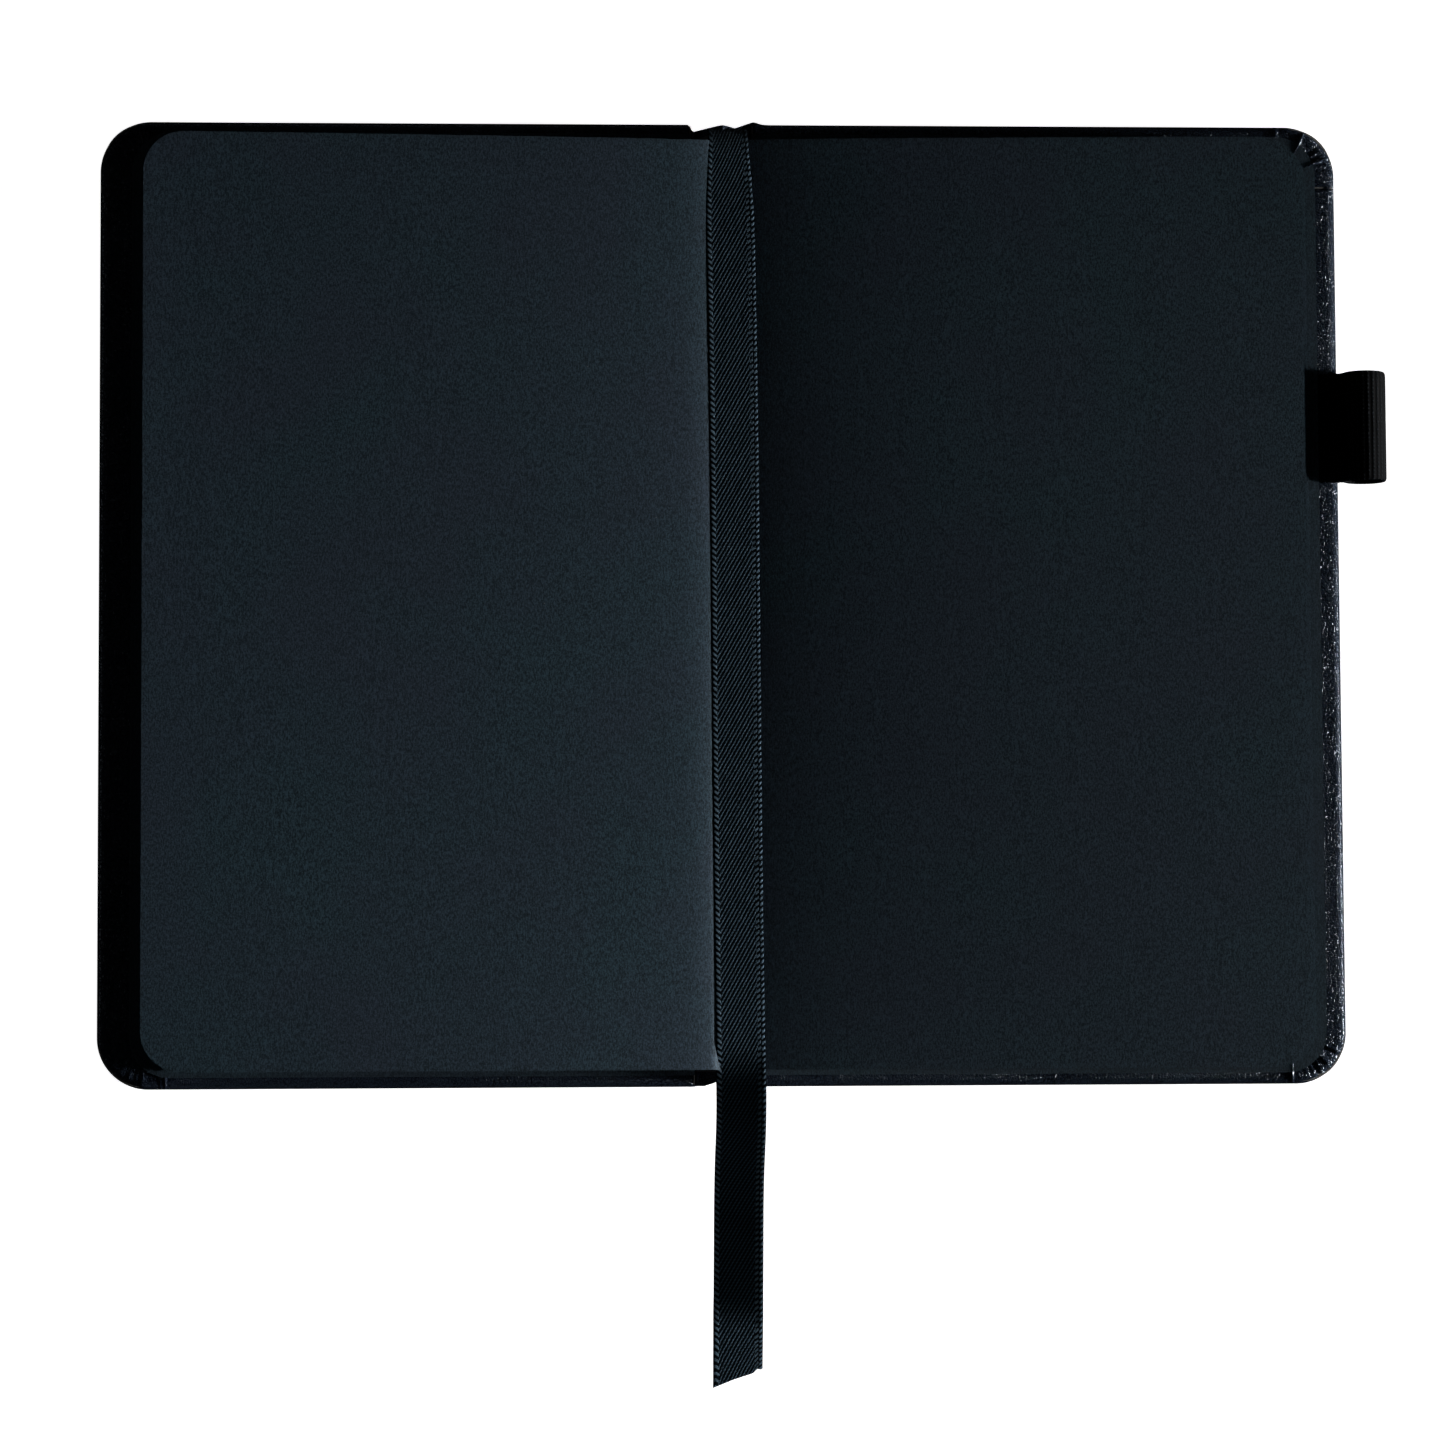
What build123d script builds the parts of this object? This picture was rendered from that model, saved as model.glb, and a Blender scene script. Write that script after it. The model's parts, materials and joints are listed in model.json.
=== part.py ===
from build123d import *
import os

# Pocket sketchbook lying open on a table, in millimetres.
# +X points to the back cover's fore-edge, +Y to the head of the pages and +Z up. The pieces are
# drawn with the gutter at X = 0, and written with the middle of the book's footprint, pen loop
# included, at X = 0, on the table.

# Pages
PAGE_HEIGHT = 139.6
PAGE_CORNER = 6.0
LEAF = 0.2  # thickness of one sheet of heavy drawing paper, with the air that lies on it
SIGNATURE_LEAVES = 8  # four folded sheets
FRONT_FORE_EDGE = (-87.4, -86.2)  # fore-edge of the lowest and of the top leaf on the front side
BACK_FORE_EDGE = (88.1, 87.6)
GAP = 0.04  # air between pieces that lie on each other

# Cover
COVER_REACH = 92.6  # from the gutter to the cover's fore-edge
COVER_HEIGHT = 144.0
COVER_CORNER = 6.8
EDGE_ROUND = 0.7
SKIN = 0.4
BOARD = 1.8
BOARD_END = 4.6  # from the gutter to the inner end of a board
TURN_IN = 14.0
PASTEDOWN = 0.2
PASTEDOWN_EDGE = (-87.8, 89.5)
PASTEDOWN_HEIGHT = 140.6

# Spine: each half of the covering stands up beside the gutter as a steep roof
SPINE_HEIGHT = 142.2
ROOF_FOOT = 4.2
ROOF_TOP = 0.2
ROOF_RISE = 5.3
# Level distance through a sloping layer of the spine, as a share of its thickness
ROOF_SLANT = (1 + ((ROOF_FOOT - ROOF_TOP) / ROOF_RISE) ** 2) ** 0.5
LINING = 0.3
LINING_FOOT = 0.9  # height of the lining's lower end, clear of the board
BACK_AIR = 0.3  # room for the sewing thread between the lining and the backs of the signatures
THREAD_RADIUS = 0.1
THREAD_LENGTH = 120.0

# Ribbon bookmark, a flat cord
RIBBON_WIDTH = 7.0
RIBBON_THICK = 0.25
RIBBON_MIDDLE = 2.1
RIBBON_LEVEL = 7.22
RIBBON_ON_TABLE = 0.3
RIBBON_ROUTE = [(71.4, 5.75), (71.4, RIBBON_LEVEL), (-77.0, RIBBON_LEVEL),
                (-86.0, RIBBON_ON_TABLE), (-115.4, RIBBON_ON_TABLE)]
RIBBON_BENDS = [1.2, 12.0, 12.0]

# Pen loop of ribbed elastic
LOOP_MIDDLE_Y = 26.1
LOOP_WIDTH = 16.4
LOOP_BORE = 2.75
WEBBING = 0.6
LOOP_CENTRE = (96.2, 3.8)
LOOP_HINGE = (92.95, 2.41)  # where the webbing bends when the loop lifts
TAB_INNER_END = 78.7
TAB_THICK = 0.38
TAB_OUTER_END = 92.7
FOOTPRINT_MIDDLE = (LOOP_CENTRE[0] + LOOP_BORE + WEBBING - COVER_REACH) / 2

# Levels, from the table up
BOARD_TOP = SKIN + BOARD
TURN_IN_TOP = BOARD_TOP + SKIN
PASTEDOWN_TOP = TURN_IN_TOP + PASTEDOWN
PAGES_BOTTOM = PASTEDOWN_TOP + 0.05

# Where each bound piece lies in its stack, counted in leaves from the cover up
FRONT_STACK = {
    "front_flyleaf": (0, 1),
    "signature_1": (1, 1 + SIGNATURE_LEAVES),
    "signature_2": (1 + SIGNATURE_LEAVES, 1 + 2 * SIGNATURE_LEAVES),
    "signature_3": (1 + 2 * SIGNATURE_LEAVES, 1 + 3 * SIGNATURE_LEAVES),
    "signature_4_front": (1 + 3 * SIGNATURE_LEAVES, 4 + 3 * SIGNATURE_LEAVES),
    "left_leaf": (4 + 3 * SIGNATURE_LEAVES, 5 + 3 * SIGNATURE_LEAVES),
}
BACK_STACK = {
    "back_flyleaf": (0, 1),
    "signature_6": (1, 1 + SIGNATURE_LEAVES),
    "signature_5": (1 + SIGNATURE_LEAVES, 1 + 2 * SIGNATURE_LEAVES),
    "signature_4_back": (1 + 2 * SIGNATURE_LEAVES, 4 + 2 * SIGNATURE_LEAVES),
    "right_leaf": (4 + 2 * SIGNATURE_LEAVES, 5 + 2 * SIGNATURE_LEAVES),
}
# Where a leaf that turns begins, clear of the fold that holds it
LEFT_LEAF_START = 3.4
RIGHT_LEAF_START = 2.6
# How far the top leaf has sunk towards its fold, at each distance from the gutter
FRONT_DIVE = [(52.0, 0.0), (34.0, 0.1), (20.0, 0.38), (11.0, 0.82), (6.5, 1.3), (4.2, 1.85), (3.0, 2.5)]
BACK_DIVE = [(55.0, 0.0), (34.0, 0.14), (20.0, 0.45), (12.0, 0.85), (7.0, 1.25), (4.0, 1.6), (2.4, 1.85)]
FRONT_FOLD_DROP = 3.2
BACK_FOLD_DROP = 2.0
FRONT_FOLD_SHIFT = 0.9  # the front pages lie this much further from the gutter than the back ones


def level(leaves):
    return PAGES_BOTTOM + leaves * LEAF


def roof_inset(z):
    """How far the outer face of a spine half stands from the gutter at height z."""
    return ROOF_FOOT - (ROOF_FOOT - ROOF_TOP) * z / ROOF_RISE


def back_inset(z):
    """How far the folded back of the pages stands from the gutter at height z."""
    return roof_inset(z) + (SKIN + LINING + BACK_AIR) * ROOF_SLANT


def leaf_line(side, count, total, dive, drop):
    """The surface that lies count leaves above the cover, from the flat page in to the fold.

    The lowest surface is flat and the top one sinks the whole dive, so a surface between them
    sinks by its share of it.
    """
    share = count / total
    z = level(count)
    fold_z = z - share * drop
    fold = back_inset(fold_z) + (FRONT_FOLD_SHIFT if side < 0 else 0)
    slope = [(side * d, z - share * sink) for d, sink in dive if d > fold + 0.4]
    return slope + [(side * fold, fold_z)]


def fore_edge(edges, count, total):
    return edges[0] + (edges[1] - edges[0]) * count / total


def stack_piece(side, span, total, edges, dive, drop):
    """A packet of leaves: flat towards the fore-edge, sinking to its fold beside the gutter."""
    low, high = span
    bottom = leaf_line(side, low, total, dive, drop)
    top = [(x, z - GAP) for x, z in leaf_line(side, high, total, dive, drop)]
    edge = fore_edge(edges, (low + high) / 2, total)
    low_edge, top_edge = (edge, bottom[0][1]), (edge, top[0][1])
    outline = [Line(low_edge, bottom[0]), Spline(*bottom), Line(bottom[-1], top[-1]),
               Spline(*top[::-1]), Line(top[0], top_edge), Line(top_edge, low_edge)]
    packet = extrude(Plane.XZ * make_face(Wire(outline)), PAGE_HEIGHT / 2, both=True)
    corners = packet.edges().filter_by(Axis.Z).filter_by(lambda e: abs(e.center().X - edge) < 0.01)
    return fillet(corners, PAGE_CORNER)


def turning_leaf(side, span, total, edges, dive, drop):
    """The top leaf, without the strip at its fold that stays behind when it turns."""
    leaf = stack_piece(side, span, total, edges, dive, drop)
    start = LEFT_LEAF_START if side < 0 else RIGHT_LEAF_START
    return leaf - Pos(0, 0, level(total) / 2) * Box(2 * start, PAGE_HEIGHT + 2, 2 * level(total))


def slab(side, inner, outer, height, z0, z1, corner):
    """A plate from inner to outer, both distances from the gutter, with round fore-edge corners."""
    plate = Pos(side * (inner + outer) / 2, 0, z0) * Box(
        outer - inner, height, z1 - z0, align=(Align.CENTER, Align.CENTER, Align.MIN))
    fore = plate.edges().filter_by(Axis.Z).filter_by(
        lambda e: abs(abs(e.center().X) - outer) < 0.01)
    return fillet(fore, corner) if corner else plate


def cover_board(side):
    return slab(side, BOARD_END, COVER_REACH - SKIN, COVER_HEIGHT - 2 * SKIN, SKIN, BOARD_TOP,
                COVER_CORNER - SKIN)


def roof_half(side, thickness, offset, bottom, height):
    """One sloping half of the spine, a strip that stands offset inside the outer face."""
    near, far = offset * ROOF_SLANT, (offset + thickness) * ROOF_SLANT
    points = [(roof_inset(bottom) + near, bottom), (roof_inset(ROOF_RISE) + near, ROOF_RISE),
              (roof_inset(ROOF_RISE) + far, ROOF_RISE), (roof_inset(bottom) + far, bottom)]
    face = make_face(Polyline(*[(side * x, z) for x, z in points], close=True))
    return extrude(Plane.XZ * face, height / 2, both=True)


def cover_skin(side):
    """The covering of one side: under the board, round its three edges, turned in, and up the spine."""
    shell = slab(side, BOARD_END, COVER_REACH, COVER_HEIGHT, 0, TURN_IN_TOP, COVER_CORNER)
    rims = shell.edges().group_by(Axis.Z)
    outer = [e for e in list(rims[0]) + list(rims[-1])
             if abs(e.center().X) > BOARD_END + 0.1]
    shell = fillet(outer, EDGE_ROUND)
    shell -= slab(side, BOARD_END - 1, COVER_REACH - SKIN, COVER_HEIGHT - 2 * SKIN, SKIN,
                  BOARD_TOP, COVER_CORNER - SKIN)
    shell -= slab(side, BOARD_END - 1, COVER_REACH - TURN_IN, COVER_HEIGHT - 2 * TURN_IN,
                  BOARD_TOP - 0.1, TURN_IN_TOP + 0.1, 0)
    joint = slab(side, roof_inset(0) - 0.01, BOARD_END + 0.3, SPINE_HEIGHT, 0, SKIN, 0)
    return shell + joint + roof_half(side, SKIN, 0, 0, SPINE_HEIGHT)


def pastedown(side, edge):
    """The paper that lines a board, bedded inside the turned-in covering and lying over it."""
    sheet = slab(side, BOARD_END, abs(edge), PASTEDOWN_HEIGHT, TURN_IN_TOP, PASTEDOWN_TOP,
                 PAGE_CORNER)
    bed = slab(side, BOARD_END, COVER_REACH - TURN_IN - GAP, COVER_HEIGHT - 2 * TURN_IN - 2 * GAP,
               BOARD_TOP, TURN_IN_TOP, 0)
    return sheet + bed


def spine_lining(side):
    return roof_half(side, LINING, SKIN + GAP, LINING_FOOT, PAGE_HEIGHT)


def sewing_thread(side, stack, total, drop):
    """The thread along the back of each signature."""
    rods = []
    for name, (low, high) in stack.items():
        if not name.startswith("signature"):
            continue
        middle = (low + high) / 2
        z = min(level(middle) - drop * middle / total, ROOF_RISE - LINING)
        x = side * (back_inset(z) - BACK_AIR / 2 * ROOF_SLANT)
        rods.append(Pos(x, 0, z) * Rot(90, 0, 0) * Cylinder(THREAD_RADIUS, THREAD_LENGTH))
    return Compound(rods)


def loop_tab_space(clear):
    return Pos((TAB_INNER_END + TAB_OUTER_END) / 2, LOOP_MIDDLE_Y, TURN_IN_TOP - TAB_THICK / 2) * Box(
        TAB_OUTER_END - TAB_INNER_END, LOOP_WIDTH + clear, TAB_THICK + clear)


def pen_loop():
    """A ring of elastic webbing whose neck ends in a round nose at the bend beside its tab."""
    x, z = LOOP_CENTRE
    hinge_x, hinge_z = LOOP_HINGE
    nose = TAB_THICK / 2
    ring = Circle(LOOP_BORE + WEBBING) - Circle(LOOP_BORE)
    neck = make_face(Polyline((hinge_x, hinge_z - nose), (hinge_x, hinge_z + nose),
                              (x - LOOP_BORE - 0.2, z - 0.4), (x - 2.1, z - 1.8), close=True))
    profile = Pos(x, z) * ring + Pos(hinge_x, hinge_z) * Circle(nose)
    profile += neck - Pos(x, z) * Circle(LOOP_BORE)
    return Pos(0, LOOP_MIDDLE_Y, 0) * extrude(Plane.XZ * profile, LOOP_WIDTH / 2, both=True)


def ribbon():
    """The flat bookmark: over the head, down the gutter, over the tail and along the table."""
    middle = FilletPolyline(*RIBBON_ROUTE, radius=RIBBON_BENDS)
    band = trace(middle, RIBBON_THICK)
    solid = Pos(RIBBON_MIDDLE, 0, 0) * extrude(Plane.YZ * band, RIBBON_WIDTH / 2, both=True)
    print("ribbon length", round(middle.length, 2), "bends", RIBBON_BENDS,
          "volume over section times length", round(
              solid.volume / (middle.length * RIBBON_THICK * RIBBON_WIDTH), 4))
    return solid


def write(name, shape):
    export_step(Pos(-FOOTPRINT_MIDDLE, 0, 0) * shape, f"parts/{name}.step")


def main():
    os.makedirs("parts", exist_ok=True)
    front_total = FRONT_STACK["left_leaf"][1]
    back_total = BACK_STACK["right_leaf"][1]
    for side, stack, total, edges, dive, drop in (
            (-1, FRONT_STACK, front_total, FRONT_FORE_EDGE, FRONT_DIVE, FRONT_FOLD_DROP),
            (1, BACK_STACK, back_total, BACK_FORE_EDGE, BACK_DIVE, BACK_FOLD_DROP)):
        for name, span in stack.items():
            build = turning_leaf if span[1] == total else stack_piece
            write(name, build(side, span, total, edges, dive, drop))
    tab = loop_tab_space(0)
    for side, cover in ((-1, "front"), (1, "back")):
        skin = cover_skin(side)
        if side > 0:
            skin -= loop_tab_space(2 * GAP)
        write(f"{cover}_cover_skin", skin)
        write(f"{cover}_board", cover_board(side))
        write(f"{cover}_pastedown", pastedown(side, PASTEDOWN_EDGE[side > 0]))
        write(f"{cover}_spine_lining", spine_lining(side))
    write("front_sewing_thread", sewing_thread(-1, FRONT_STACK, front_total, FRONT_FOLD_DROP))
    write("back_sewing_thread", sewing_thread(1, BACK_STACK, back_total, BACK_FOLD_DROP))
    write("pen_loop_tab", tab)
    write("pen_loop", pen_loop())
    write("ribbon", ribbon())


main()
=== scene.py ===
import json
import math

import bmesh
import bpy
import numpy as np
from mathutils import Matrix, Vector


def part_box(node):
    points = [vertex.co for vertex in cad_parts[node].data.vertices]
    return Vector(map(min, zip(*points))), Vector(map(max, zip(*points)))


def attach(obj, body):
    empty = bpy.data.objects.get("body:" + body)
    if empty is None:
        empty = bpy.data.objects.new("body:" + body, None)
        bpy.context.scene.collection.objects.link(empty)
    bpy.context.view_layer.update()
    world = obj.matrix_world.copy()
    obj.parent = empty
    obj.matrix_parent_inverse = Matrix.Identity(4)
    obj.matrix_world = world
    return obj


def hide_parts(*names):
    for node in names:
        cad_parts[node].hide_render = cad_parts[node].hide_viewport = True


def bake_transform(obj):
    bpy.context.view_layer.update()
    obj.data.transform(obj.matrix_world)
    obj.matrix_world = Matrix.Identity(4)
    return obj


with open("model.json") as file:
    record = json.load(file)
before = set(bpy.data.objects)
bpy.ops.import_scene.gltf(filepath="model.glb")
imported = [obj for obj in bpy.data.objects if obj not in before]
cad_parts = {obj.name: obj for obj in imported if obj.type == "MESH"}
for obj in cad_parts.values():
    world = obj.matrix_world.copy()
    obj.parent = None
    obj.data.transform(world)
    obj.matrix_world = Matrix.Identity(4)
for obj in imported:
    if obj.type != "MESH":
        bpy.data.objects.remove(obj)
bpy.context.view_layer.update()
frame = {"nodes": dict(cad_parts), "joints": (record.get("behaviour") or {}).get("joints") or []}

# Pocket sketchbook lying open. Everything is drawn in millimetres with the gutter at X = 0, and
# new_piece() puts it into the shared frame, in metres. X runs across the open book, Y from its
# tail to its head and Z up. Side -1 is the front cover's half, side 1 the back cover's.
MM = 0.001
HINGES = {joint["name"]: joint["pos_m"] for joint in frame["joints"]}
GUTTER = HINGES["cover_close"][0]
CHANCE = np.random.RandomState(11)


def span(node, axis):
    """A CAD node's lowest and highest coordinate on an axis, in millimetres from the gutter."""
    shift = GUTTER if axis == 0 else 0.0
    return tuple((corner[axis] - shift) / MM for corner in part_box(node))


SKIN = 0.4  # thickness of the covering
STACK_LEAVES = 28.8  # leaf pitches from the first leaf's underside to the left leaf's top

# Sizes that come from the frame
COVER_REACH = span("back_cover_skin", 0)[1]
COVER_HALF = span("back_cover_skin", 1)[1]
SPINE_TOP = span("back_cover_skin", 2)[1]
PASTEDOWN_BOTTOM = span("back_board", 2)[1] + SKIN
PAGES_BOTTOM = span("back_flyleaf", 2)[0]
PAGE_HALF = span("right_leaf", 1)[1]
LEAF = (span("left_leaf", 2)[1] - PAGES_BOTTOM) / STACK_LEAVES

# Covering
COVER_CORNER = 7.6
EDGE_RADIUS = 1.3
SPINE_HALF = 71.1  # from the middle to the spine's head, in the recess
SPINE_FOOT = 4.2  # half the width of the spine's roof at its foot
FOLD_RADIUS = 0.35
TURN_IN_SHOWN = 6.2
GAP_HALF = 4.8  # half the gap between the boards, where the edge is thin
GAP_BLEND = 0.6  # run over which the edge gets thin
GAP_THICK = 0.8  # two layers of covering, with no board in them
BULGE = 0.45  # how far the covering's end comes forward beside the ribbon
BULGE_PLACE = 4.7
BULGE_WIDTH = 1.1

# Pages
PAPER = 0.12  # thickness of one leaf
PAGE_CORNER = 6.0
FRONT_LEAVES = 29
BACK_LEAVES = 21
# Height and reach of each exponential that the pages' slope towards the gutter is made of
FRONT_SLOPE = [(1.3, 60.0), (0.7, 14.0), (0.8, 1.7)]
BACK_SLOPE = [(3.5, 80.0), (0.9, 12.0)]
FRONT_ROOT = 2.3  # where the open sheets leave the stacks for the gutter
BACK_ROOT = 2.9
FRONT_FORE_EDGE = (-87.4, -85.75)
BACK_FORE_EDGE = (88.0, 86.55)
HEAD_TRIM = {-1: (0.4, 1.2), 1: (0.2, 0.6)}  # how much lower the head is, at fore-edge and gutter
TAIL_TRIM = 0.3
EDGE_SCATTER = 0.12  # how unevenly the leaves end, at the fore-edge and at the head and tail
HALF_SCATTER = 0.25
FOLD_CLEARANCE = 1.25  # from the spine's roof to the signatures' folds
FRONT_INSET = 0.9  # how much further out the front signatures' folds stand
VALLEY_GAP = 0.35  # where the two open pages end, from the middle of the gutter
VALLEY = 5.62  # height of the lowest sheet of the open signature over the spine
VALLEY_PITCH = 0.14  # from one open sheet to the next, over the spine
SLOPE_STEP = 0.3  # run over which a page's slope is measured

# Ribbon bookmark: a flat cord. Its route gives (x, y, z) from the spine to the cut end, and its
# roll gives (distance from the head, degrees).
RIBBON_WIDTH = 7.0
RIBBON_THICK = 0.25
RIBBON_ROUTE = [(0.7, 70.6, 5.2), (0.7, 70.6, 6.4), (0.9, 66.5, 6.65), (1.5, 30.0, 6.5),
                (1.7, -35.0, 6.4), (2.05, -71.0, 6.4), (2.05, -77.0, 6.35), (1.9, -86.0, 1.1),
                (1.8, -97.3, 1.0), (1.6, -115.0, 0.9)]
RIBBON_ROLL = [(0, -3), (30, -5), (137, -5), (143, 7), (150, 10), (175, 10), (180, -3), (190, -4)]
RIBBON_SHOWN = 7.4  # across the stitched edges
RIBBON_STEP = 0.11
HEAD_NARROWING = 0.2  # share of its width that the ribbon loses at its head, and how soon
HEAD_RUN = 9.0
CUT_RUN = 6  # length of the slanted end
CUT_SLANT = 1.15
STITCH = 0.85  # pitch of the stitches along the ribbon's edges

# Pen loop of ribbed elastic
LOOP_MIDDLE_Y = (span("pen_loop", 1)[0] + span("pen_loop", 1)[1]) / 2
LOOP_HALF = (span("pen_loop", 1)[1] - span("pen_loop", 1)[0]) / 2
LOOP_REACH = span("pen_loop", 0)[1]
LOOP_RADIUS = 3.35
LOOP_MIDDLE_Z = 3.8
LOOP_STEP = 0.1
NECK = 88.6  # where the webbing is thinnest, beside the end paper
WEBBING = 0.6  # thickness
RIB = 0.72  # pitch of the ribs along the webbing
KNOT = 0.62  # pitch of the knots along a rib


def clamp(value, low=0, high=1):
    return min(max(value, low), high)


# ---------------------------------------------------------------- meshes

def new_piece(name, points, faces, material, crease=40, places=None):
    """A smooth piece from points in millimetres.

    Its material reads each point's place at rest, or its place along and across a band.
    """
    points = np.asarray(points, float)
    mesh = bpy.data.meshes.new(name)
    mesh.from_pydata((points * MM + (GUTTER, 0, 0)).tolist(), [], faces)
    keep_rest(mesh, points if places is None else places)
    shape = bmesh.new()
    shape.from_mesh(mesh)
    bmesh.ops.recalc_face_normals(shape, faces=shape.faces)
    shape.to_mesh(mesh)
    shape.free()
    mesh.materials.append(material)
    mesh.polygons.foreach_set("use_smooth", [True] * len(mesh.polygons))
    mesh.set_sharp_from_angle(angle=math.radians(crease))
    piece = bpy.data.objects.new(name, mesh)
    bpy.context.scene.collection.objects.link(piece)
    return piece


def keep_rest(mesh, places):
    """The places go with the points, so a pattern stays on its piece when it moves."""
    attribute = mesh.attributes.new("rest_mm", "FLOAT_VECTOR", "POINT")
    attribute.data.foreach_set("vector", np.asarray(places, np.float32).ravel())


def loft(rows, ring=True, caps=True):
    """Points and faces of a skin over rows of points. A ring row closes on itself."""
    count = len(rows[0])
    points = [p for row in rows for p in row]
    faces = []
    for i in range(len(rows) - 1):
        a, b = i * count, (i + 1) * count
        for j in range(count if ring else count - 1):
            k = (j + 1) % count
            faces.append((a + j, a + k, b + k, b + j))
    if ring and caps:
        faces.append(tuple(range(count)))
        faces.append(tuple(range(len(points) - count, len(points))))
    return points, faces


def joined(parts):
    """Several (points, faces) as one."""
    points, faces = [], []
    for more, rings in parts:
        start = len(points)
        points += list(more)
        faces += [tuple(start + i for i in face) for face in rings]
    return points, faces


# ---------------------------------------------------------------- paper

def sink(slope, d):
    """How far the top page has sunk at distance d, from its height at the fore-edge."""
    return sum(height * (math.exp(-d / reach) - math.exp(-COVER_REACH / reach))
               for height, reach in slope)


def leaf_height(side, count, d):
    """Height of the middle of a leaf with count leaves under it, d from the gutter."""
    total, slope = (FRONT_LEAVES, FRONT_SLOPE) if side < 0 else (BACK_LEAVES, BACK_SLOPE)
    return PAGES_BOTTOM + (count + 0.5) * LEAF - (count + 0.5) / total * sink(slope, d)


def fold_inset(z):
    """How far the folded backs of the signatures stand from the gutter at height z."""
    return max(SPINE_FOOT * (1 - z / SPINE_TOP), 0.2) + FOLD_CLEARANCE


def fore_edge(side, count):
    low, top = FRONT_FORE_EDGE if side < 0 else BACK_FORE_EDGE
    total = FRONT_LEAVES if side < 0 else BACK_LEAVES
    return abs(low + (top - low) * count / total) + CHANCE.uniform(-EDGE_SCATTER, EDGE_SCATTER)


def half_height(d, edge, half):
    """Half the leaf's height at distance d from the gutter, with its round fore-edge corner."""
    inside = d - (edge - PAGE_CORNER)
    if inside <= 0:
        return half
    return half - PAGE_CORNER + math.sqrt(max(PAGE_CORNER ** 2 - inside ** 2, 0))


def leaf_stations(edge, start):
    """Distances from the fore-edge in to start, close together at the corner and the fold."""
    corner = [edge - PAGE_CORNER + PAGE_CORNER * math.sin(math.radians(a))
              for a in (90, 84, 76, 66, 54, 40, 24, 8)]
    slope = [d for d in (70, 55, 42, 32, 24, 18, 13.5, 10, 7.6, 5.8, 4.4, 3.4, 2.6)
             if d > start + 0.3]
    return corner + slope + [start]


def paper_strip(path, half_at):
    """A strip of paper along a path of (x, z, d), half_at(d) to each side of the middle."""
    path = [np.array(p, float) for p in path]
    rows = []
    for i, (x, z, d) in enumerate(path):
        ahead, behind = path[min(i + 1, len(path) - 1)], path[max(i - 1, 0)]
        run = ahead[:2] - behind[:2]
        normal = np.array([-run[1], run[0]]) / np.linalg.norm(run) * PAPER / 2
        half = half_at(d)
        rows.append([(x + normal[0], -half, z + normal[1]), (x + normal[0], half, z + normal[1]),
                     (x - normal[0], half, z - normal[1]), (x - normal[0], -half, z - normal[1])])
    return loft(rows)


def folded_sheet(side, low, high, outermost):
    """One sheet of a signature: a low leaf, a round fold at the spine and a high leaf."""
    edges = [fore_edge(side, low), fore_edge(side, high)]
    half = PAGE_HALF - CHANCE.uniform(0, HALF_SCATTER)
    reach = max(leaf_height(side, outermost[1], 6) - leaf_height(side, outermost[0], 6), 0.2) / 2
    middle = (leaf_height(side, low, 4) + leaf_height(side, high, 4)) / 2
    centre = fold_inset(middle) + reach + (FRONT_INSET if side < 0 else 0)
    z_low, z_high = leaf_height(side, low, centre), leaf_height(side, high, centre)
    radius, z_middle = (z_high - z_low) / 2, (z_high + z_low) / 2
    lower = [(side * d, leaf_height(side, low, d), d) for d in leaf_stations(edges[0], centre)]
    upper = [(side * d, leaf_height(side, high, d), d) for d in leaf_stations(edges[1], centre)]
    fold = [(side * (centre - radius * math.sin(a)), z_middle - radius * math.cos(a), centre)
            for a in (math.pi * k / 6 for k in range(1, 6))]
    path = lower + fold + upper[::-1]
    points, faces = paper_strip(path, lambda d: 0)
    return reshape_halves(points, path, edges, len(lower), half), faces


def reshape_halves(points, path, edges, split, half):
    """Gives each row of a folded strip the height that its own leaf has there."""
    placed = []
    for i, (_, _, d) in enumerate(path):
        reach = half_height(d, edges[0] if i < split else edges[1], half)
        for j, (x, _, z) in enumerate(points[4 * i:4 * i + 4]):
            placed.append((x, reach if j in (1, 2) else -reach, z))
    return placed


def signature(side, first):
    """Four sheets folded inside each other, eight leaves."""
    last = first + 7
    return joined([folded_sheet(side, first + j, last - j, (first, last)) for j in range(4)])


def single_leaf(side, count):
    edge = fore_edge(side, count)
    path = [(side * d, leaf_height(side, count, d), d)
            for d in leaf_stations(edge, fold_inset(PAGES_BOTTOM) + 0.6)]
    return paper_strip(path, lambda d: half_height(d, edge, PAGE_HALF - 0.1))


def valley_path(front, back):
    """Middle line of an open sheet near the gutter, from the front slope to the back slope."""
    rise = VALLEY + VALLEY_PITCH * (front - FRONT_LEAVES + 4)
    left = (-FRONT_ROOT, leaf_height(-1, front, FRONT_ROOT))
    right = (BACK_ROOT, leaf_height(1, back, BACK_ROOT))
    slope_left = (left[1] - leaf_height(-1, front, FRONT_ROOT + SLOPE_STEP)) / SLOPE_STEP
    slope_right = (leaf_height(1, back, BACK_ROOT + SLOPE_STEP) - right[1]) / SLOPE_STEP
    return (bridge(left, slope_left, (0.0, rise), 0.0)
            + bridge((0.0, rise), 0.0, right, slope_right)[1:])


def bridge(a, slope_a, b, slope_b, steps=7):
    """Cubic curve from a to b with the slopes given."""
    run = b[0] - a[0]
    made = []
    for k in range(steps + 1):
        t = k / steps
        z = ((2 * t ** 3 - 3 * t ** 2 + 1) * a[1] + (t ** 3 - 2 * t ** 2 + t) * run * slope_a
             + (3 * t ** 2 - 2 * t ** 3) * b[1] + (t ** 3 - t ** 2) * run * slope_b)
        made.append((a[0] + run * t, z))
    return made


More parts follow.
